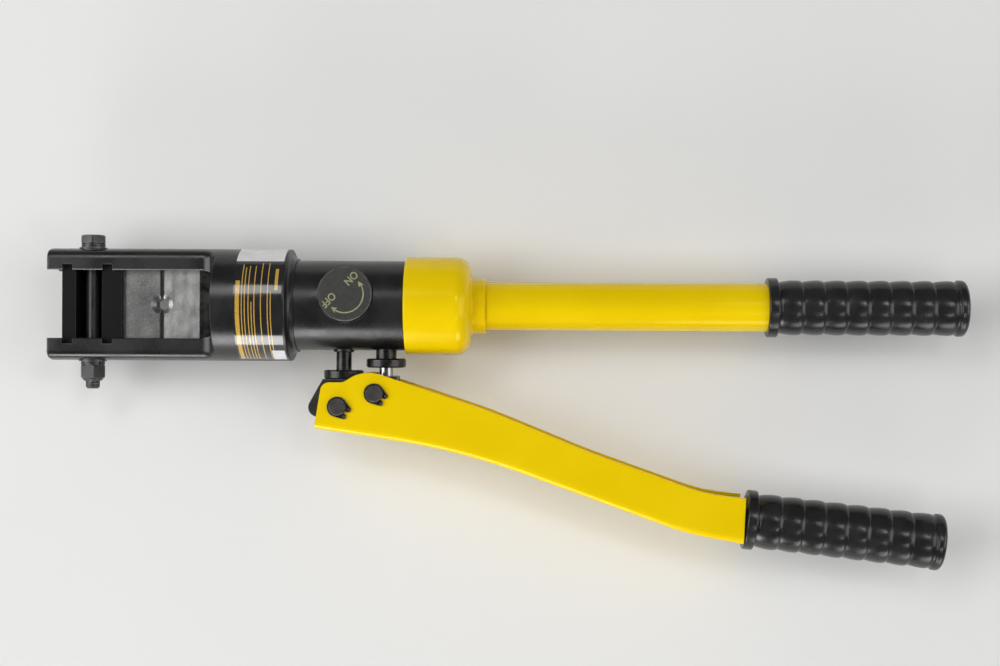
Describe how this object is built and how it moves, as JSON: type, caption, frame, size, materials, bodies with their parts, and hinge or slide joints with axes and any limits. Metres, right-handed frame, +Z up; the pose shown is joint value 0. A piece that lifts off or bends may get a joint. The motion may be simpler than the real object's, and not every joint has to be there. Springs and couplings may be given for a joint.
{
  "type": "hydraulic crimping tool",
  "caption": "Hand-held hydraulic crimping tool with a fork head, hexagon dies, a pump lever on a fulcrum bracket, a release knob and ribbed grips, lying on its side.",
  "frame": {"origin": "centre of the crimping nest between the two dies, on the ram's axis", "axes": "+X along the tool's axis from the head to the handles, +Y across it away from the pump lever, +Z up, through the nest, with the tool lying on its side and the release knob on top"},
  "size_m": [0.5323, 0.1928, 0.065],
  "materials": {
    "black_enamel": "gloss",
    "yellow_enamel": "gloss",
    "black_oxide_steel": "satin",
    "plated_steel": "satin",
    "hard_chrome": "gloss",
    "spring_steel": "satin",
    "knob_grey": "satin",
    "grip_rubber": "satin",
    "seal_rubber": "matte",
    "backup_plastic": "matte"
  },
  "bodies": {
    "tool_body": {"cross_bolt": "black_oxide_steel", "cross_bolt_nut": "black_oxide_steel", "crosshead": "black_oxide_steel", "flat_washers": "black_oxide_steel", "fulcrum_bracket": "black_oxide_steel", "fulcrum_lock_nut": "black_oxide_steel", "fulcrum_post": "black_oxide_steel", "gland_nut": "black_oxide_steel", "handle_grip": "grip_rubber", "handle_tube": "yellow_enamel", "head_fork": "black_enamel", "head_seal": "seal_rubber", "intake_seat_screw": "black_oxide_steel", "intake_spring": "spring_steel", "lock_washers": "black_oxide_steel", "oil_bladder": "seal_rubber", "outlet_spring": "spring_steel", "outlet_spring_screw": "black_oxide_steel", "plunger_seal": "seal_rubber", "pump_body": "black_enamel", "release_ball": "hard_chrome", "relief_screw": "black_oxide_steel", "relief_spring": "spring_steel", "reservoir_cap": "yellow_enamel", "return_spring": "spring_steel", "spring_anchor_bush": "black_oxide_steel", "upper_die": "plated_steel", "upper_die_dowel": "plated_steel"},
    "ram_carriage": {"ram": "black_oxide_steel", "lower_die": "plated_steel", "lower_die_dowel": "plated_steel", "ram_seal": "seal_rubber", "ram_backup_ring": "backup_plastic", "ram_spring_anchor": "black_oxide_steel"},
    "pump_lever": {"lever_channel": "yellow_enamel", "lever_tube": "black_oxide_steel", "lever_grip": "grip_rubber", "fulcrum_pin": "black_oxide_steel", "fulcrum_pin_circlips": "black_oxide_steel", "drive_pin": "black_oxide_steel", "drive_pin_circlips": "black_oxide_steel"},
    "pump_plunger": {"plunger": "hard_chrome", "plunger_head": "black_oxide_steel"},
    "release_valve": {"release_knob": "knob_grey", "release_spindle": "plated_steel", "spindle_seal": "seal_rubber"},
    "intake_valve": {"intake_ball": "hard_chrome"},
    "outlet_valve": {"outlet_ball": "hard_chrome"},
    "relief_valve": {"relief_ball": "hard_chrome"}
  },
  "joints": [
    {"name": "ram_slide", "type": "slide", "parent": "tool_body", "child": "ram_carriage", "axis": [-1, 0, 0], "range_m": [-0.01535, 0.00165], "deforming": ["return_spring"]},
    {"name": "lever_pivot", "type": "hinge", "parent": "tool_body", "child": "pump_lever", "pos_m": [0.103, -0.0584, 0], "axis": [0, 0, 1], "range_deg": [-42, 8]},
    {"name": "plunger_slide", "type": "slide", "parent": "tool_body", "child": "pump_plunger", "axis": [0, 1, 0], "range_m": [-0.0161, 0.0031]},
    {"name": "release_turn", "type": "hinge", "parent": "tool_body", "child": "release_valve", "pos_m": [0.1084, 0.006, 0.022], "axis": [0, 0, 1], "range_deg": [0, 100]},
    {"name": "intake_lift", "type": "slide", "parent": "tool_body", "child": "intake_valve", "axis": [-1, 0, 0], "range_m": [0, 0.0008], "stiffness_N_per_m": 100, "springref_m": -0.01, "deforming": ["intake_spring"]},
    {"name": "outlet_lift", "type": "slide", "parent": "tool_body", "child": "outlet_valve", "axis": [-1, 0, 0], "range_m": [0, 0.0008], "stiffness_N_per_m": 100, "springref_m": -0.01, "deforming": ["outlet_spring"]},
    {"name": "relief_lift", "type": "slide", "parent": "tool_body", "child": "relief_valve", "axis": [0, 0, -1], "range_m": [0, 0.0005], "stiffness_N_per_m": 200, "springref_m": -0.01, "deforming": ["relief_spring"]}
  ],
  "couplings": [
    {"joint": "plunger_slide", "follows": "lever_pivot", "m_per_rad": 0.0219}
  ]
}
